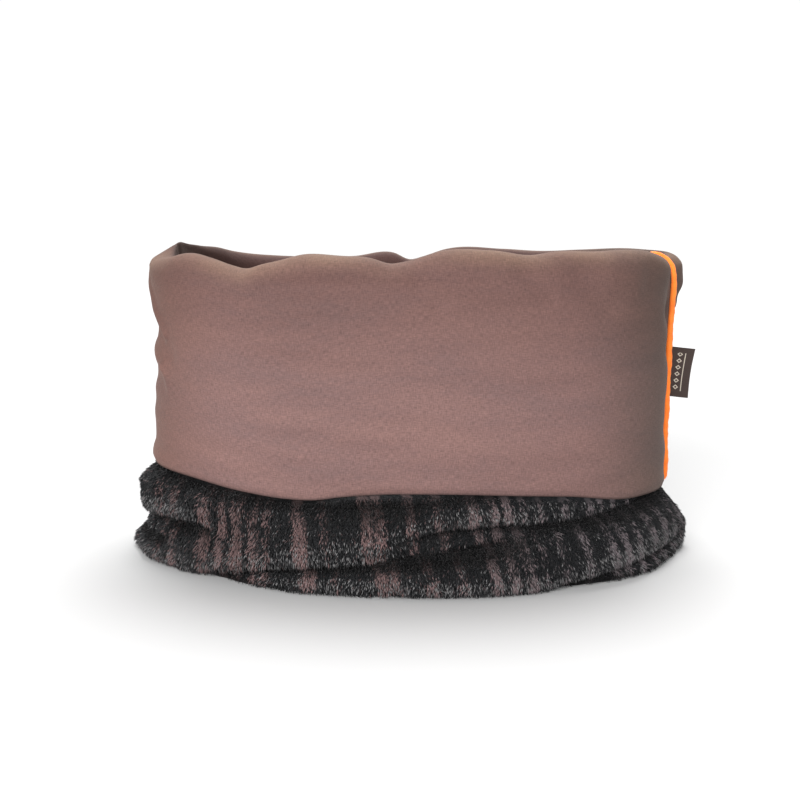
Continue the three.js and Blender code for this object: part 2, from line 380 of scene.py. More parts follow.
def overhung(walk, share):
    """1 close under the hem or under a deep fold, which shade the pile, down to 0 in the open."""
    height = (hem_height(walk) + FOLDS_HIDDEN) * (1 - share)
    shade = ease(height, hem_height(walk) - 12 * MM, hem_height(walk) - 2 * MM)
    for above, deep in creases(walk, height):
        strength = np.clip(deep / (14 * MM), 0, 1)
        shade = np.maximum(shade, 0.8 * strength * bump(above + 7 * MM, 6 * MM))
    return shade


# ---- mesh making ----
def mark(mesh, key, kind, values):
    """Give a mesh one value, or one vector, for each of its points."""
    field = "vector" if kind == "FLOAT_VECTOR" else "value"
    layer = mesh.attributes.new(key, kind, "POINT")
    layer.data.foreach_set(field, np.asarray(values, np.float32).ravel())


def add_object(name, points, faces, body=None, attributes=(), rounded=None):
    """A mesh object from arrays; attributes are (name, type, values) for each point, and rounded is
    how many of its first faces are shaded smooth, if not all."""
    mesh = bpy.data.meshes.new(name)
    mesh.vertices.add(len(points))
    mesh.vertices.foreach_set("co", np.asarray(points, np.float32).ravel())
    counts = np.array([len(rows[0]) for rows in faces for _ in rows])
    corners = np.concatenate([np.asarray(rows).ravel() for rows in faces])
    mesh.loops.add(len(corners))
    mesh.loops.foreach_set("vertex_index", corners.astype(np.int32))
    mesh.polygons.add(len(counts))
    starts = np.concatenate([[0], np.cumsum(counts)[:-1]])
    mesh.polygons.foreach_set("loop_start", starts.astype(np.int32))
    mesh.polygons.foreach_set("use_smooth", np.arange(len(counts)) < (rounded or len(counts)))
    mesh.update(calc_edges=True)
    for key, kind, values in attributes:
        mark(mesh, key, kind, values)
    thing = bpy.data.objects.new(name, mesh)
    bpy.context.scene.collection.objects.link(thing)
    if body:
        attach(thing, body)
    return thing


def slab(name, face, back, cloth, wrapped=False, body=None):
    """A closed piece between two grids of points of the same shape (around, along, 3). cloth is where
    each point of the grid lies in the flat cloth. A wrapped piece joins its first and last rows."""
    rows, columns = face.shape[:2]
    points = np.concatenate([face.reshape(-1, 3), back.reshape(-1, 3)])
    index = np.arange(rows * columns).reshape(rows, columns)
    if wrapped:
        index = np.vstack([index, index[:1]])
    a, b, c, d = index[:-1, :-1], index[1:, :-1], index[1:, 1:], index[:-1, 1:]
    front = np.stack([a, b, c, d], axis=-1).reshape(-1, 4)
    far = front[:, ::-1] + rows * columns
    edges = [index[::-1, 0], index[:, -1]]
    if not wrapped:
        edges += [index[0, :], index[-1, ::-1]]
    rims = []
    for edge in edges:
        near, away = edge, edge + rows * columns
        rims.append(np.stack([near[:-1], near[1:], away[1:], away[:-1]], axis=-1)[:, ::-1])
    flat = np.concatenate([cloth.reshape(-1, 2)] * 2)
    flat = np.column_stack([flat, np.repeat([0.0, 1.0], rows * columns)])
    faces = [front, far, *rims]
    attributes = [("cloth", "FLOAT_VECTOR", flat)]
    return add_object(name, points, faces, body, attributes, rounded=2 * len(front))


def cloth_grid(walk, points):
    """Where a grid lies in the flat cloth: metres round, and metres down from its first edge."""
    steps = np.linalg.norm(np.diff(points, axis=1), axis=-1)
    along = np.concatenate([np.zeros((len(points), 1)), np.cumsum(steps, axis=1)], axis=1)
    return np.stack([np.broadcast_to(walk, along.shape), along], axis=-1)


SEAM_GAP = 0.15 * MM
PANELS = {"front": (SEAM_GAP, RIGHT - SEAM_GAP), "back": (RIGHT + SEAM_GAP, ROUND - SEAM_GAP)}


def panel_walk(side, count):
    """Grid lines across one panel, closer together near its two seams."""
    start, end = PANELS[side]
    even = np.linspace(0, 1, count)
    return (start + (end - start) * (even - 0.06 * np.sin(2 * np.pi * even)))[:, None]


def stages(first, last, leg, roll, inside):
    """Grid lines along the wall's section: up the cuff, over the roll and down inside."""
    parts = [
        np.linspace(0, 1, leg, endpoint=False),
        np.linspace(1, 2, roll, endpoint=False),
        np.linspace(2, 3, inside),
    ]
    every = np.concatenate(parts)
    kept = every[(every > first + 1e-6) & (every < last - 1e-6)]
    return np.concatenate([[first], kept, [last]])[None, :]


def wall_layer(name, side, outer, inner, first, last, columns, fineness):
    """One layer of a panel, from stage first to stage last, between two insets."""
    walk, stage = panel_walk(side, columns), stages(first, last, *fineness)
    if outer > 0:  # a filling is pressed thinner beside the seams
        outer = outer + 4 * MM * bump(apart(walk, RIGHT), 0.04) + 2 * MM * bump(apart(walk, 0), 0.03)
        outer = np.minimum(outer, inner - 1 * MM)
    face, back = wall_points(walk, stage, outer), wall_points(walk, stage, inner)
    return slab(name, back, face, cloth_grid(walk, face))


def flat_cloth(piece):
    """Where each point of a piece lies in its flat cloth: round, down, and 0 or 1 for its two faces."""
    flat = np.empty(3 * len(piece.data.vertices), np.float32)
    piece.data.attributes["cloth"].data.foreach_get("vector", flat)
    return flat.reshape(-1, 3)


def cut_size(piece):
    """The flat size of a panel's layer: half the way round, by its length along the cloth."""
    return round(RIGHT, 3), round(float(flat_cloth(piece)[:, 1].max()), 3)


def make_shells():
    """The woven cloth: from the hem up the cuff, over the mouth and down to the pocket's floor."""
    columns, fineness = 260, (90, 26, 80)
    turned_in = np.tile(ease(stages(0, 3, *fineness)[0], 1.4, 1.75), 2 * columns)
    for side in PANELS:
        shell = wall_layer(f"woven_shell_{side}", side, 0, SHELL, 0, 3, columns, fineness)
        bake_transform(shell)
        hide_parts(f"shell_{side}", f"pocket_lining_{side}")
        heights = np.array([corner.co.z for corner in shell.data.vertices])
        below_rim = heights - rim_height(flat_cloth(shell)[:, 0])
        # rim marks where the painted highlight goes: the outer face close under the rim
        mark(shell.data, "rim", "FLOAT", (1 - turned_in) * bump(below_rim, 10 * MM))
        # inside marks where the shell gets painted shade, inside the pocket
        mark(shell.data, "inside", "FLOAT", turned_in)
        shell.data.materials.append(shell_cloth())
        cut_size(shell)


def make_fillings():
    """Wadding and the plush that lies hidden in the doubled wall."""
    for side in PANELS:
        wadding = wall_layer(
            f"wall_wadding_{side}", side, WADDING_OUT, PLUSH_OUT - GAP, 0.06, 2.97, 90, (24, 14, 24)
        )
        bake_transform(wadding)
        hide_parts(f"wadding_{side}", f"folds_wadding_{side}")
        wadding.data.materials.append(wadding_fibre())
        hidden = wall_layer(
            f"turned_plush_{side}", side, PLUSH_OUT, MIDDLE - GAP, 0.08, 2.6, 90, (24, 10, 20)
        )
        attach(hidden, "cuff")
        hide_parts(f"plush_wall_{side}")
        hidden.data.materials.append(plush_pile())
        cut_size(hidden)


FOLDS_BACK = 15 * MM  # inner face of the slumped plush, in from the cuff's face


def make_folds():
    """The slumped body: a closed padded roll of plush for each panel, with its pile."""
    for side in PANELS:
        walk = panel_walk(side, 300)
        share = np.linspace(0, 1, 90)[None, :]
        face = fold_points(walk, share)
        x, y, out_x, out_y = plan(walk)
        level = (face[:, :1, 2] * (1 - share)).clip(LOWEST)
        back_x, back_y = x - out_x * FOLDS_BACK, y - out_y * FOLDS_BACK
        back = np.stack(np.broadcast_arrays(back_x, back_y, level), axis=-1)
        cloth = cloth_grid(walk, face)
        opening = pile_opening(walk, share)
        shaded = np.clip(opening - 0.7 * overhung(walk, share), -1, 1)
        folds = slab(f"plush_body_{side}", back, face, cloth)
        # the opening attribute holds the pile's openness less its overhang, which the material turns
        # into painted shade under the hem and the deep folds
        mark(folds.data, "opening", "FLOAT", [shaded, shaded])
        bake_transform(folds)
        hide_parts(f"plush_folds_{side}")
        folds.data.materials.append(plush_pile())
        rooted = (face[..., 2] < hem_height(walk) - 1.5 * MM) & (opening > -0.85)
        make_pile(side, face, cloth, shaded, rooted)


TUFTS = 31000  # for each piece of pile
TUFT_LENGTH = 6 * MM
TUFT_RADIUS = 0.5 * MM


def make_pile(side, face, cloth, opening, rooted):
    """The pile of one panel's folds: fine closed tufts that lie down the cloth."""
    middle = face.shape[0] // 2
    halves = {"left": slice(0, middle + 1), "right": slice(middle, None)}
    if side == "back":
        halves = {"right": halves["left"], "left": halves["right"]}
    for number, (end, part) in enumerate(halves.items()):
        seed = 100 + 10 * number + (5 if side == "back" else 0)
        points, faces, tip, flat, open_here = tufts(
            face[part], cloth[part], opening[part], rooted[part], TUFTS, seed
        )
        # the tufts' opening attribute carries the same painted shade
        pile = add_object(
            f"pile_{side}_{end}", points, [faces], None,
            [("cloth", "FLOAT_VECTOR", flat), ("tip", "FLOAT", tip), ("opening", "FLOAT", open_here)],
        )
        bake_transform(pile)
        pile.data.materials.append(plush_tufts())


def unit(rows):
    return rows / np.maximum(np.linalg.norm(rows, axis=-1, keepdims=True), 1e-9)


def tufts(face, cloth, opening, rooted, count, seed):
    """Spindle-shaped tufts rooted evenly over a grid of cloth."""
    rng = np.random.default_rng(seed)
    a, b, c, d = face[:-1, :-1], face[1:, :-1], face[1:, 1:], face[:-1, 1:]
    area = np.linalg.norm(np.cross(c - a, d - b), axis=-1) / 2
    area = (area * rooted[:-1, :-1]).ravel()
    pick = rng.choice(area.size, count, p=area / area.sum())
    i, j = np.unravel_index(pick, a.shape[:2])
    u, v = rng.random((2, count, 1))

    def spread(grid):
        low = grid[i, j] * (1 - u) + grid[i + 1, j] * u
        high = grid[i, j + 1] * (1 - u) + grid[i + 1, j + 1] * u
        return low * (1 - v) + high * v

    root, flat, open_here = spread(face), spread(cloth), spread(opening[..., None])
    around = np.gradient(face, axis=0)
    along = np.gradient(face, axis=1)
    normal = np.cross(around, along)
    around, along, normal = (unit(spread(unit(rows))) for rows in (around, along, -normal))
    normal[:, 2] = np.minimum(normal[:, 2], 0.25)

    swirl = np.sin(flat[:, :1] * 190 + 3 * np.sin(flat[:, 1:] * 70)) * 0.35
    swirl = swirl + np.sin(flat[:, :1] * 61 + flat[:, 1:] * 97) * 0.3
    lift = 0.75 + 0.3 * open_here
    lay = unit(lift * normal + 0.75 * along + swirl * around + 0.28 * rng.normal(size=(count, 3)))
    length = TUFT_LENGTH * rng.uniform(0.6, 1.15, (count, 1))
    radius = TUFT_RADIUS * rng.uniform(0.6, 1.2, (count, 1))
    end = unit(lay + 0.45 * along - np.array([0, 0, 0.25]))
    belly = root + lay * length * 0.5
    tip = belly + end * length * 0.5
    side_a = unit(np.cross(lay, normal + 0.01 * rng.normal(size=(count, 3))))
    side_b = np.cross(lay, side_a)
    ring = []
    for k in range(3):
        angle = 2 * math.pi * k / 3
        ring.append(belly + radius * (math.cos(angle) * side_a + math.sin(angle) * side_b))
    foot = root - normal * 0.8 * MM
    points = np.stack([foot, *ring, tip], axis=1)
    points[..., 2] = np.maximum(points[..., 2], 0.4 * MM)
    first = 5 * np.arange(count)[:, None, None]
    pattern = np.array([[0, 2, 1], [0, 3, 2], [0, 1, 3], [4, 1, 2], [4, 2, 3], [4, 3, 1]])
    faces = (first + pattern[None]).reshape(-1, 3)
    shade = np.tile([0, 0.5, 0.5, 0.5, 1.0], (count, 1))
    lot = rng.random(count)
    flat = np.repeat(np.column_stack([flat, lot]), 5, axis=0)
    return points.reshape(-1, 3), faces, shade.ravel(), flat, np.repeat(open_here, 5)


# ---- the foot ----
def make_foot():
    """The closed foot: plush under, wadding between and the pocket's floor on top, softly quilted."""
    low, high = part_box("base_plush")
    wadding_low, wadding_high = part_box("base_wadding")
    layers = [
        ("foot_plush", "base_plush", "plush_pile", plush_pile, low.z, high.z, FOLDS_BACK + GAP, 0),
        ("foot_wadding", "base_wadding", "wadding_fibre", wadding_fibre,
         wadding_low.z, wadding_high.z, WALL - WADDING_OUT + 2 * GAP, 1.5 * MM),
        ("pocket_base", "pocket_floor", "shell_fabric", shell_cloth,
         wadding_high.z + GAP, FLOOR_TOP, WALL + GAP, 2.5 * MM),
    ]
    for name, node, slot, material, bottom, top, inset, dome in layers:
        walk = np.linspace(0, ROUND, 200, endpoint=False)[:, None]
        share = np.linspace(1, 0.001, 46)[None, :]
        x, y, out_x, out_y = plan(walk)
        x, y = (x - out_x * inset) * share, (y - out_y * inset) * share
        rise = dome * (1 - share**6) * (1 + 0.35 * np.sin(38 * x) * np.sin(46 * y + 1))
        sag = 0.4 * dome * (np.sin(21 * x + 9 * y) + np.sin(17 * y - 13 * x + 2)) * (1 - share**4)
        up = np.stack([x, y, top + rise + sag], axis=-1)
        under = np.stack([x, y, bottom + (rise + sag if bottom > low.z else 0 * x)], axis=-1)
        cloth = np.stack([x, y], axis=-1)
        layer = slab(name, up, under, cloth, wrapped=True, body="base")
        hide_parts(node)
        layer.data.materials.append(material())
        if slot == "wadding_fibre":
            continue
        edge_x, edge_y = x[:, 0], y[:, 0]
        area = abs(np.dot(edge_x, np.roll(edge_y, 1)) - np.dot(edge_y, np.roll(edge_x, 1))) / 2
        size = (round(float(np.ptp(edge_x)), 3), round(float(np.ptp(edge_y)), 3))


# ---- piping ----
def tube(name, path, outer, inner, sides=16):
    """A hollow round tube along a path of points; outer and inner are its radii along the path."""
    ahead = np.gradient(path, axis=0)
    ahead /= np.linalg.norm(ahead, axis=-1, keepdims=True)
    across = np.cross(ahead, [0, 1.0, 0])
    across /= np.linalg.norm(across, axis=-1, keepdims=True)
    beside = np.cross(ahead, across)
    angle = np.linspace(0, 2 * np.pi, sides, endpoint=False)[:, None, None]
    ray = np.cos(angle) * across + np.sin(angle) * beside
    face = path + ray * np.reshape(outer, (-1, 1))
    back = path + ray * np.reshape(inner, (-1, 1))
    along = np.concatenate([[0], np.cumsum(np.linalg.norm(np.diff(path, axis=0), axis=-1))])
    cloth = np.stack(np.broadcast_arrays(angle[..., 0] * 3.5 * MM, along), axis=-1)
    return slab(name, back, face, cloth, wrapped=True)


def make_piping():
    """The orange piping: a bias-cut cover round a cord, up the seam, over the mouth and down inside."""
    parts = np.linspace(0.0, 1, 110), np.linspace(1, 2, 28)[1:], np.linspace(2, 2.98, 90)[1:]
    stage = np.concatenate(parts)
    seat = wall_points(np.array(RIGHT), stage, 0.0, folded=False)
    ahead = np.gradient(seat, axis=0)
    outward = np.cross(ahead, [0, 1.0, 0])
    outward /= np.linalg.norm(outward, axis=-1, keepdims=True)
    if outward[0, 0] < 0:
        outward = -outward
    along = np.linspace(0, 1, len(seat))
    swell = 1 + 0.05 * np.sin(47 * along) + 0.03 * np.sin(113 * along + 2) + 0.03 * np.sin(310 * along)
    taper = ease(along, -0.006, 0.012) * 0.6 + 0.4
    pressed = 1.04 - 0.28 * bump(stage - 1.35, 0.6)  # it is drawn thinner where it goes over the mouth
    outer = 0.9 * PIPING_RADIUS * swell * taper * pressed
    path = seat + outward * (outer[:, None] - PIPING_SUNK)
    path[:, 1] += 0.7 * MM * np.sin(23 * along) + 0.4 * MM * np.sin(61 * along + 1)
    cover = tube("piping_cloth", path, outer, outer - PIPING_CLOTH)
    filler = (outer - 0.9 * MM)[2:-1]
    cord = tube("piping_filler", path[2:-1], filler, np.full_like(filler, 0.3 * MM), sides=10)
    for piece, nodes, slot, material in (
        (cover, ("piping_cover", "lower_piping_cover"), "piping_fabric", piping_cloth),
        (cord, ("piping_cord", "lower_piping_cord"), "piping_core", cotton_cord),
    ):
        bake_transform(piece)
        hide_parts(*nodes)
        piece.data.materials.append(material())


# ---- the label ----
LABEL_SEAM = 12.5 * MM  # how far the ribbon's ends reach in behind the piping


def make_label():
    """A woven ribbon folded once, its two ends caught in the seam."""
    low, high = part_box("woven_label")
    hinge = next(j for j in frame["joints"] if j["name"] == "label_flap")
    root = np.array(hinge["pos_m"])
    upward = np.array(hinge["axis"])
    outward = np.array([upward[2], 0, -upward[0]])
    length = (high.z - low.z) * 0.965
    depth = 23 * MM
    turn_radius = 1.1 * MM
    leg = np.linspace(0, 1, 22)
    arc = np.linspace(0, np.pi, 11)[1:-1]
    out = np.concatenate([leg, 1 + 0 * arc, leg[::-1]])
    lift = np.concatenate([leg * 0 - 1, -np.cos(arc), leg * 0 + 1])
    past = np.concatenate([leg * 0, np.sin(arc), leg * 0])
    spread = 0.5 + 0.5 * np.clip(out * 2 - 0.4, 0, 1)
    up = np.linspace(0, 1, 40)[:, None]
    bow = 1.2 * MM * np.sin(np.pi * up) * out**1.3 - 0.8 * MM * up * out
    reach = (depth - turn_radius) * out + turn_radius * past - LABEL_SEAM

    def ribbon(grow):
        sideways = (turn_radius + grow) * lift * spread + bow - 0.5 * MM
        along = reach + grow * past
        curl = 0.8 * MM * np.sin(np.pi * up) * out
        spot = root + outward * (along - curl)[..., None] + upward * (up * length)[..., None]
        spot[..., 1] += sideways
        return spot

    face, back = ribbon(RIBBON / 2), ribbon(-RIBBON / 2)
    unrolled = np.concatenate([leg * depth, depth + arc * turn_radius, (2 - leg[::-1]) * depth])
    cloth = np.stack(np.broadcast_arrays(up * length, unrolled), axis=-1)
    label = slab("side_label", back, face, cloth, body="label")
    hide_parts("woven_label")
    label.data.materials.append(label_ribbon())


# ---- materials ----
made = {}


def once(maker):
    """A material or node group is built the first time it is asked for."""

    def ask():
        if maker.__name__ not in made:
            made[maker.__name__] = maker()
        return made[maker.__name__]

    return ask


class Nodes:
    """Short ways to add and join shader nodes in one tree."""

    def __init__(self, tree):
        self.tree = tree

    def add(self, kind, **settings):
        node = self.tree.nodes.new(kind)
        for key, value in settings.items():
            setattr(node, key, value)
        return node

    def feed(self, socket, value):
        if isinstance(value, bpy.types.NodeSocket):
            self.tree.links.new(value, socket)
        elif value is not None:
            socket.default_value = value

    def math(self, operation, a, b=None, c=None, clamp=False):
        node = self.add("ShaderNodeMath", operation=operation, use_clamp=clamp)
        for socket, value in zip(node.inputs, (a, b, c)):
            self.feed(socket, value)
        return node.outputs[0]

    def mix(self, factor, a, b, blend="MIX"):
        node = self.add("ShaderNodeMix", data_type="RGBA", blend_type=blend)
        self.feed(node.inputs[0], factor)
        self.feed(node.inputs[6], a)
        self.feed(node.inputs[7], b)
        return node.outputs[2]

    def noise(self, vector, scale, detail=3.0, roughness=0.55, distortion=0.0):
        node = self.add("ShaderNodeTexNoise")
        self.feed(node.inputs["Vector"], vector)
        self.feed(node.inputs["Scale"], scale)
        self.feed(node.inputs["Detail"], detail)
        self.feed(node.inputs["Roughness"], roughness)
        self.feed(node.inputs["Distortion"], distortion)
        return node.outputs["Fac"]

    def stretch(self, vector, scale):
        node = self.add("ShaderNodeVectorMath", operation="MULTIPLY")
        self.feed(node.inputs[0], vector)
        node.inputs[1].default_value = scale
        return node.outputs[0]

    def ramp(self, value, low, high):
        node = self.add("ShaderNodeMapRange", interpolation_type="SMOOTHSTEP")
        for socket, item in zip(node.inputs, (value, low, high, 0.0, 1.0)):
            self.feed(socket, item)
        return node.outputs[0]

    def cloth(self):
        return self.add("ShaderNodeAttribute", attribute_name="cloth").outputs["Vector"]

    def marked(self, name):
        return self.add("ShaderNodeAttribute", attribute_name=name).outputs["Fac"]

    def split(self, vector):
        parts = self.add("ShaderNodeSeparateXYZ")
        self.feed(parts.inputs[0], vector)
        return parts.outputs

    def moved(self, value, noise, size):
        """The value moved up and down by a noise that lies around a half."""
        return self.math("MULTIPLY_ADD", self.math("SUBTRACT", noise, 0.5), size, value)

    def group(self, tree, **inputs):
        node = self.add("ShaderNodeGroup", node_tree=tree)
        for key, value in inputs.items():
            self.feed(node.inputs[key.replace("_", " ")], value)
        return node.outputs

    def bump(self, height, distance, strength=1.0):
        node = self.add("ShaderNodeBump")
        self.feed(node.inputs["Height"], height)
        node.inputs["Distance"].default_value = distance
        node.inputs["Strength"].default_value = strength
        return node.outputs["Normal"]


def new_group(name, inputs, outputs):
    """A node group with named sockets; inputs are (name, type, value)."""
    tree = bpy.data.node_groups.new(name, "ShaderNodeTree")
    for title, kind, value in inputs:
        socket = tree.interface.new_socket(title, in_out="INPUT", socket_type=kind)
        if value is not None:
            socket.default_value = value
    for title, kind in outputs:
        tree.interface.new_socket(title, in_out="OUTPUT", socket_type=kind)
    nodes = Nodes(tree)
    return tree, nodes, nodes.add("NodeGroupInput").outputs, nodes.add("NodeGroupOutput").inputs


@once
def weave_group():
    """Crossing threads: Height for a bump and Shade for the colour."""
    tree, n, given, result = new_group(
        "Crossing threads",
        [("Cloth", "NodeSocketVector", None), ("Threads per metre", "NodeSocketFloat", 1800.0),
         ("Unevenness", "NodeSocketFloat", 0.3)],
        [("Height", "NodeSocketFloat"), ("Shade", "NodeSocketFloat")],
    )
    around, along, _ = n.split(given["Cloth"])
    pitch = n.math("MULTIPLY", given["Threads per metre"], math.pi)
    warp, weft = (
        n.math("ABSOLUTE", n.math("SINE", n.math("MULTIPLY", way, pitch))) for way in (around, along)
    )
    slub = n.noise(n.stretch(given["Cloth"], (220, 1500, 1)), 1.0, 2.0)
    slub_up = n.noise(n.stretch(given["Cloth"], (1500, 220, 1)), 1.0, 2.0)
    uneven = n.math("MULTIPLY", n.math("ADD", slub, slub_up), given["Unevenness"])
    thread = n.math("MULTIPLY", n.math("ADD", warp, weft), 0.5)
    n.feed(result["Height"], n.math("ADD", thread, uneven))
    shade = n.math("ADD", n.math("MULTIPLY", slub, 0.5), n.math("MULTIPLY", slub_up, 0.5))
    n.feed(result["Shade"], shade)
    return tree


@once
def mottle_group():
    """Uneven nap and dye: broad soft patches with finer cloudiness in them."""
    tree, n, given, result = new_group(
        "Nap and dye mottling",
        [("Cloth", "NodeSocketVector", None), ("Patch size", "NodeSocketFloat", 0.05),
         ("Colour", "NodeSocketColor", (0.5, 0.5, 0.5, 1)),
         ("Light", "NodeSocketColor", (0.6, 0.6, 0.6, 1)),
         ("Dark", "NodeSocketColor", (0.4, 0.4, 0.4, 1)), ("Amount", "NodeSocketFloat", 0.5)],
        [("Colour", "NodeSocketColor"), ("Mask", "NodeSocketFloat")],
    )
    size = n.math("DIVIDE", 1.0, given["Patch size"])
    broad = n.noise(n.stretch(given["Cloth"], (0.4, 1.6, 1)), size, 3.0)
    fine = n.noise(n.stretch(given["Cloth"], (0.45, 1.3, 1)), n.math("MULTIPLY", size, 14.0), 4.0, 0.7)
    mask = n.math("ADD", n.math("MULTIPLY", broad, 0.65), n.math("MULTIPLY", fine, 0.35))
    lift = n.math("MULTIPLY", n.ramp(mask, 0.46, 0.66), given["Amount"])
    drop = n.math("MULTIPLY", n.ramp(mask, 0.52, 0.34), given["Amount"])
    colour = n.mix(lift, given["Colour"], given["Light"])
    n.feed(result["Colour"], n.mix(drop, colour, given["Dark"]))
    n.feed(result["Mask"], mask)
    return tree


STRIPE_PITCH = 0.021  # of the stripes on the back
WANDERING = 0.036  # how far they wander sideways on their way down
FRONT_WANDERING = 0.014
COMBED = 0.007  # how far single tufts are combed across their edges
STRIPE_LEAN = 0.15  # of the front stripes, as a slope

# the broad stripes on the front: distance round from the left seam and half width, both in
# millimetres, and how strongly the stripe is dyed
FRONT_STRIPES = [
    (92, 6, 0.45), (112, 5, 0.5), (148, 6, 0.85), (166, 4.5, 0.8), (181, 5.5, 0.8), (197, 4, 0.75),
    (208, 3, 0.6), (236, 5.5, 1), (257, 2.5, 0.3), (292, 4.5, 0.75), (302, 4, 0.75), (328, 4, 0.6),
    (352, 4, 0.4), (380, 4.5, 0.95), (396, 4, 0.85), (409, 4, 0.8), (423, 2.5, 0.3), (440, 2.5, 0.45),
    (462, 4, 0.55), (488, 3.5, 0.75), (501, 3.5, 0.85), (517, 3.5, 0.7), (538, 4, 0.65), (560, 6, 0.6),
    (588, 5, 0.65), (612, 6, 0.6),
]


@once
def stripe_group():
    """Broken, feathered stripes that run down the plush, as a mask, and Bright for single fibres."""
    tree, n, given, result = new_group(
        "Broken plush stripes",
        [("Cloth", "NodeSocketVector", None), ("Pitch", "NodeSocketFloat", STRIPE_PITCH),
         ("Feather", "NodeSocketFloat", 0.3)],
        [("Mask", "NodeSocketFloat"), ("Bright", "NodeSocketFloat")],
    )
    around, along, _ = n.split(given["Cloth"])
    drift = n.noise(n.stretch(given["Cloth"], (6, 24, 0)), 1.0, 2.0)
    combed = n.noise(n.stretch(given["Cloth"], (40, 700, 0)), 1.0, 1.0)
    combed = n.moved(around, combed, COMBED)
    wandering = n.moved(combed, drift, WANDERING)
    turn = n.math("DIVIDE", n.math("MULTIPLY", wandering, 2 * math.pi), given["Pitch"])
    broad = n.noise(n.stretch(given["Cloth"], (15, 6, 0)), 1.0, 2.0)
    gathered = n.math("MULTIPLY", n.math("SUBTRACT", broad, 0.5), 4.2)
    level = n.math("MULTIPLY_ADD", n.math("SINE", turn), 0.5, gathered)
    stripe = n.ramp(level, 0.22, n.math("ADD", 0.22, given["Feather"]))
    # on the front the stripes have their own places, and all but the leftmost lean
    down = n.math("SUBTRACT", along, 0.045)
    lean = n.math("MULTIPLY", n.ramp(around, 0.2, 0.24), n.math("MULTIPLY", down, -STRIPE_LEAN))
    settled = n.math("ADD", n.moved(combed, drift, FRONT_WANDERING), lean)
    placed = 0.0
    for place, half, strength in FRONT_STRIPES:
        off = n.math("ABSOLUTE", n.math("SUBTRACT", settled, place * MM))
        edge = n.ramp(off, 1.35 * half * MM, 0.6 * half * MM)
        placed = n.math("MULTIPLY_ADD", edge, strength, placed)
    # the ones on the left fade out towards the hem
    faded = n.math("MULTIPLY", n.ramp(around, 0.23, 0.2), n.ramp(along, 0.034, 0.018))
    placed = n.math("MULTIPLY", placed, n.math("MULTIPLY_ADD", faded, -0.75, 1.0))
    back = n.ramp(around, RIGHT - 0.03, RIGHT - 0.01)
    stripe = n.math("ADD", n.math("MULTIPLY", stripe, back), placed, clamp=True)
    across = n.ramp(n.noise(n.stretch(given["Cloth"], (20, 64, 0)), 1.0, 3.0), 0.4, 0.53)
    n.feed(result["Mask"], n.math("MULTIPLY", stripe, n.math("MULTIPLY_ADD", across, 0.6, 0.4)))
    n.feed(result["Bright"], n.noise(n.stretch(given["Cloth"], (500, 500, 900)), 1.0, 1.0))
    return tree


def new_material(name, roughness, sheen=0.0, sheen_tint=(1, 1, 1, 1), specular=0.3):
    material = bpy.data.materials.new(name)
    material.use_nodes = True
    n = Nodes(material.node_tree)
    skin = material.node_tree.nodes["Principled BSDF"].inputs
    skin["Roughness"].default_value = roughness
    skin["Sheen Weight"].default_value = sheen
    skin["Sheen Roughness"].default_value = 0.45
    skin["Sheen Tint"].default_value = sheen_tint
    skin["Specular IOR Level"].default_value = specular
    return material, n, skin


SHELL_BROWN = (0.116, 0.066, 0.0605, 1)
# painted highlight: a lighter tan laid along the outer face of the mouth's roll
RIM_HIGHLIGHT_TAN = (0.135, 0.083, 0.057, 1)
# painted shade, multiplying the shell's colour in these places; the one at the plain seam is warmer in
# hue
PIPED_SEAM_SHADE = (0.6, 0.68, 0.64, 1)  # multiplies the shell's colour close to the piped seam
PLAIN_SEAM_SHADE = (0.78, 0.7, 0.63, 1)  # and close to the plain seam
POCKET_SHADE = (0.56, 0.52, 0.52, 1)  # inside the pocket
MOUTH_SHADE = (0.73, 0.68, 0.655, 1)  # and towards the mouth
CHARCOAL = (0.004, 0.0046, 0.0052, 1)
DUSTY_ROSE = (0.155, 0.096, 0.093, 1)
GREYED_ROSE = (0.125, 0.104, 0.11, 1)  # the stripes' colour round the right seam
GREY_FIBRE = (0.045, 0.045, 0.05, 1)  # single lighter fibres
# pale fibre tips, laid more thickly where the pile opens as a painted highlight
PALE_TIP_GLINT = (0.36, 0.35, 0.35, 1)


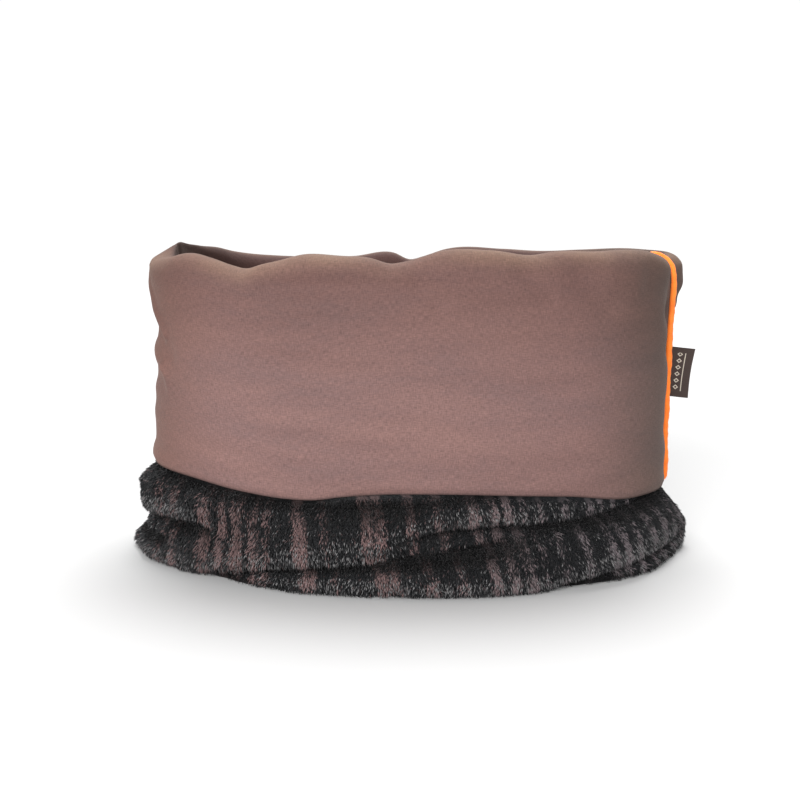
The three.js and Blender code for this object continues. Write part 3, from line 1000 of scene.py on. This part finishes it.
@once
def shell_cloth():
    """Peached brown weave: matt, with a soft nap that catches light where the cloth turns away."""
    material, n, skin = new_material("peached_brown_weave", 0.85, 0.08, (0.9, 0.72, 0.62, 1), 0.2)
    cloth = n.cloth()
    colour = n.group(
        mottle_group(), Cloth=cloth, Patch_size=0.06, Colour=SHELL_BROWN,
        Light=(0.13, 0.073, 0.065, 1), Dark=(0.1, 0.06, 0.057, 1), Amount=0.8,
    )
    weave = n.group(weave_group(), Cloth=cloth, Threads_per_metre=1500.0, Unevenness=0.5)
    shade = n.math("MULTIPLY_ADD", weave["Shade"], 1.9, 0.05)
    around, up, _ = n.split(cloth)
    # painted shade: the cloth is made darker and duller near the piped seam, darker and warmer near
    # the plain one, and darker towards the mouth and inside it
    from_seam = n.math("ABSOLUTE", n.math("SUBTRACT", around, RIGHT))
    nap = n.mix(n.ramp(from_seam, 0.2, 0.08), colour["Colour"], PIPED_SEAM_SHADE, "MULTIPLY")
    nap = n.mix(n.ramp(from_seam, RIGHT - 0.18, RIGHT - 0.05), nap, PLAIN_SEAM_SHADE, "MULTIPLY")
    nap = n.mix(n.ramp(up, 0.07, 0.19), nap, MOUTH_SHADE, "MULTIPLY")
    nap = n.mix(n.marked("inside"), nap, POCKET_SHADE, "MULTIPLY")
    # painted highlight along the rim, broken up by a noise
    patchy = n.math("MULTIPLY_ADD", n.ramp(n.noise(cloth, 14.0, 3.0), 0.3, 0.7), 0.6, 0.25)
    nap = n.mix(n.math("MULTIPLY", n.marked("rim"), patchy), nap, RIM_HIGHLIGHT_TAN)
    # painted shade along the hem's turned edge
    hem_shade = n.math("MULTIPLY_ADD", n.ramp(up, 0.0, 0.003), 0.66, 0.38)
    n.feed(skin["Base Color"], n.mix(1.0, nap, n.math("MULTIPLY", shade, hem_shade), "MULTIPLY"))
    n.feed(skin["Roughness"], n.math("MULTIPLY_ADD", colour["Mask"], 0.15, 0.74))
    # small level creases in the cloth, under the threads
    drag = n.noise(n.stretch(cloth, (22, 110, 1)), 1.0, 3.0, 0.5, 0.4)
    height = n.math("MULTIPLY_ADD", drag, 9.0, weave["Height"])
    n.feed(skin["Normal"], n.bump(height, 0.00014, 0.6))
    return material


def paint_plush(n, skin, tip, lot):
    """Charcoal pile with dusty-rose stripes; tips are pale, more of them as a painted highlight where
    the pile opens; painted shade darkens it in a crease, under the hem and folds, near the floor and at
    tufts' roots."""
    cloth = n.cloth()
    opening = n.marked("opening")
    stripes = n.group(stripe_group(), Cloth=cloth, Pitch=STRIPE_PITCH, Feather=0.16)
    dyed = n.math("MULTIPLY", stripes["Mask"], 0.7)
    if lot is not None:  # some tufts of a stripe stay charcoal, and a few stray ones are rose
        reach = n.math("MULTIPLY", stripes["Mask"], 0.84)
        dyed = n.ramp(lot, n.math("ADD", reach, 0.08), n.math("SUBTRACT", reach, 0.05))
    around = n.split(cloth)[0]
    greyer = n.math("MULTIPLY", n.ramp(around, 0.3, 0.48), n.ramp(around, 1.0, 0.8))
    colour = n.mix(dyed, CHARCOAL, n.mix(greyer, DUSTY_ROSE, GREYED_ROSE))
    fibre = n.ramp(stripes["Bright"], 0.35, 0.7)
    colour = n.mix(n.math("MULTIPLY", fibre, 0.14), colour, GREY_FIBRE)
    if tip is not None:
        # pale tips; more tufts have them where the pile opens on the swells, as a painted highlight
        share = n.math("SUBTRACT", 0.95, n.math("MULTIPLY", n.math("MAXIMUM", opening, 0.0), 0.55))
        pale = n.math("MULTIPLY", n.ramp(lot, share, 1.0), n.ramp(tip, 0.3, 0.9))
        colour = n.mix(n.math("MULTIPLY", pale, 0.7), colour, PALE_TIP_GLINT)
        # painted shade between the fibres, darker towards each tuft's root
        root = n.ramp(tip, 0.0, 0.5)
        colour = n.mix(1.0, colour, n.math("MULTIPLY_ADD", root, 0.6, 0.4), "MULTIPLY")
    # painted shade: darker down in a crease, under the hem and deep folds and close to the floor
    crease_shade = n.ramp(opening, -0.85, 0.2)
    colour = n.mix(1.0, colour, n.math("MULTIPLY_ADD", crease_shade, 0.9, 0.1), "MULTIPLY")
    n.feed(skin["Base Color"], colour)
    n.feed(skin["Roughness"], n.math("MULTIPLY_ADD", fibre, 0.2, 0.5))
    return stripes


@once
def plush_pile():
    """The knitted ground of the plush, under and between its tufts."""
    material, n, skin = new_material("plush_ground", 0.8, 0.05, (0.7, 0.68, 0.7, 1), 0.1)
    stripes = paint_plush(n, skin, None, None)
    n.feed(skin["Normal"], n.bump(stripes["Bright"], 0.0012, 0.8))
    return material


@once
def plush_tufts():
    material, n, skin = new_material("plush_tufts", 0.6, 0.06, (0.8, 0.78, 0.8, 1), 0.14)
    paint_plush(n, skin, n.marked("tip"), n.split(n.cloth())[2])
    return material


@once
def wadding_fibre():
    material, n, skin = new_material("polyester_wadding", 0.95, 0.2)
    colour = n.group(
        mottle_group(), Cloth=n.cloth(), Patch_size=0.012, Colour=(0.8, 0.79, 0.76, 1),
        Light=(0.88, 0.87, 0.85, 1), Dark=(0.66, 0.65, 0.62, 1), Amount=0.8,
    )
    n.feed(skin["Base Color"], colour["Colour"])
    n.feed(skin["Normal"], n.bump(colour["Mask"], 0.003, 0.8))
    return material


@once
def piping_cloth():
    """Bright orange bias-cut cover."""
    material, n, skin = new_material("orange_piping", 0.6, 0.25, (1, 0.8, 0.6, 1), 0.3)
    cloth = n.cloth()
    slant = n.add("ShaderNodeVectorRotate", rotation_type="Z_AXIS")
    n.feed(slant.inputs["Vector"], cloth)
    slant.inputs["Angle"].default_value = math.radians(45)
    weave = n.group(weave_group(), Cloth=slant.outputs[0], Threads_per_metre=1300.0, Unevenness=0.5)
    colour = n.group(
        mottle_group(), Cloth=cloth, Patch_size=0.02, Colour=(0.95, 0.2, 0.018, 1),
        Light=(1.0, 0.26, 0.03, 1), Dark=(0.8, 0.13, 0.01, 1), Amount=0.6,
    )
    shade = n.math("MULTIPLY_ADD", weave["Shade"], 0.4, 0.8)
    n.feed(skin["Base Color"], n.mix(1.0, colour["Colour"], shade, "MULTIPLY"))
    n.feed(skin["Normal"], n.bump(weave["Height"], 0.00025, 0.7))
    return material


@once
def cotton_cord():
    material, n, skin = new_material("cotton_filler_cord", 0.9, 0.1)
    colour = n.group(
        mottle_group(), Cloth=n.cloth(), Patch_size=0.006, Colour=(0.72, 0.7, 0.62, 1),
        Light=(0.8, 0.78, 0.7, 1), Dark=(0.55, 0.53, 0.46, 1), Amount=0.7,
    )
    n.feed(skin["Base Color"], colour["Colour"])
    n.feed(skin["Normal"], n.bump(colour["Mask"], 0.0008, 0.8))
    return material


@once
def label_ribbon():
    """Dark brown woven ribbon with a cream border line and a column of small cream lozenges."""
    material, n, skin = new_material("woven_label_ribbon", 0.6, 0.1, (1, 0.9, 0.8, 1), 0.25)
    cloth = n.cloth()
    up, out, _ = n.split(cloth)
    weave = n.group(weave_group(), Cloth=cloth, Threads_per_metre=2200.0, Unevenness=0.4)
    step = 6.4 * MM
    cell = n.math("SUBTRACT", n.math("FRACT", n.math("DIVIDE", up, step)), 0.5)
    rise = n.math("ABSOLUTE", n.math("MULTIPLY", cell, step))
    across = n.math("ABSOLUTE", n.math("SUBTRACT", out, 10 * MM))
    away = n.math("ADD", rise, n.math("MULTIPLY", across, 0.8))
    lozenge = n.math("LESS_THAN", away, 2.3 * MM)
    motif = n.math("MULTIPLY", lozenge, n.math("GREATER_THAN", away, 1.2 * MM))
    inside = n.math("MULTIPLY", n.math("GREATER_THAN", up, 6 * MM), n.math("LESS_THAN", up, 43 * MM))
    motif = n.math("MULTIPLY", motif, inside)
    line = n.math("LESS_THAN", n.math("ABSOLUTE", n.math("SUBTRACT", out, 15.5 * MM)), 0.45 * MM)
    motif = n.math("MAXIMUM", motif, n.math("MULTIPLY", line, inside))
    ground = n.mix(weave["Shade"], (0.024, 0.0145, 0.012, 1), (0.043, 0.027, 0.023, 1))
    n.feed(skin["Base Color"], n.mix(motif, ground, (0.42, 0.37, 0.31, 1)))
    height = n.math("MULTIPLY_ADD", motif, 0.6, weave["Height"])
    n.feed(skin["Normal"], n.bump(height, 0.0002, 0.8))
    return material


# ---- studio ----
def make_studio():
    """A white floor, a white room and large soft lights."""
    scene = bpy.context.scene
    scene.view_settings.view_transform = "Standard"
    scene.view_settings.look = "None"
    floor = add_object(
        "studio_floor", [(-9, -9, 0), (9, -9, 0), (9, 9, 0), (-9, 9, 0)], [np.array([[0, 1, 2, 3]])]
    )
    material, n, skin = new_material("pale_floor", 0.9, specular=0.0)
    speck = n.noise(n.add("ShaderNodeTexCoord").outputs["Object"], 3.0, 2.0)
    n.feed(skin["Base Color"], n.mix(speck, (0.46, 0.46, 0.46, 1), (0.465, 0.465, 0.465, 1)))
    floor.data.materials.append(material)
    floor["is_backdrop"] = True

    world = bpy.data.worlds.new("white_room")
    scene.world = world
    world.use_nodes = True
    sky = Nodes(world.node_tree)
    seen = sky.add("ShaderNodeLightPath").outputs["Is Camera Ray"]
    background = world.node_tree.nodes["Background"].inputs
    background["Color"].default_value = (1, 1, 1, 1)
    sky.feed(background["Strength"], sky.math("MULTIPLY_ADD", seen, 0.52, 0.5))

    for name, heading, height, spread, strength in (
        ("front_softbox", -22, 16, 50, 6.9),
        ("rear_softbox", 172, 66, 34, 4.5),
    ):
        light = bpy.data.lights.new(name, "SUN")
        light.angle = math.radians(spread)
        light.energy = strength
        lamp = bpy.data.objects.new(name, light)
        lamp.location = (0, 0, 2)
        lamp.rotation_euler = (math.radians(90 - height), 0, math.radians(heading))
        scene.collection.objects.link(lamp)


def make_camera():
    data = bpy.data.cameras.new("camera")
    data.lens = CAMERA_LENS
    camera = bpy.data.objects.new("camera", data)
    camera.location = (CAMERA_SIDE, -CAMERA_DISTANCE, CAMERA_HEIGHT)
    camera.rotation_euler = (math.pi / 2 - CAMERA_PITCH, 0, 0)
    bpy.context.scene.collection.objects.link(camera)
    bpy.context.scene.camera = camera


make_camera()
make_studio()
make_shells()
make_fillings()
make_folds()
make_foot()
make_piping()
make_label()

boxes = {"cad": cad_box, "visual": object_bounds()}
{key: [list(corner) for corner in box] for key, box in boxes.items()}
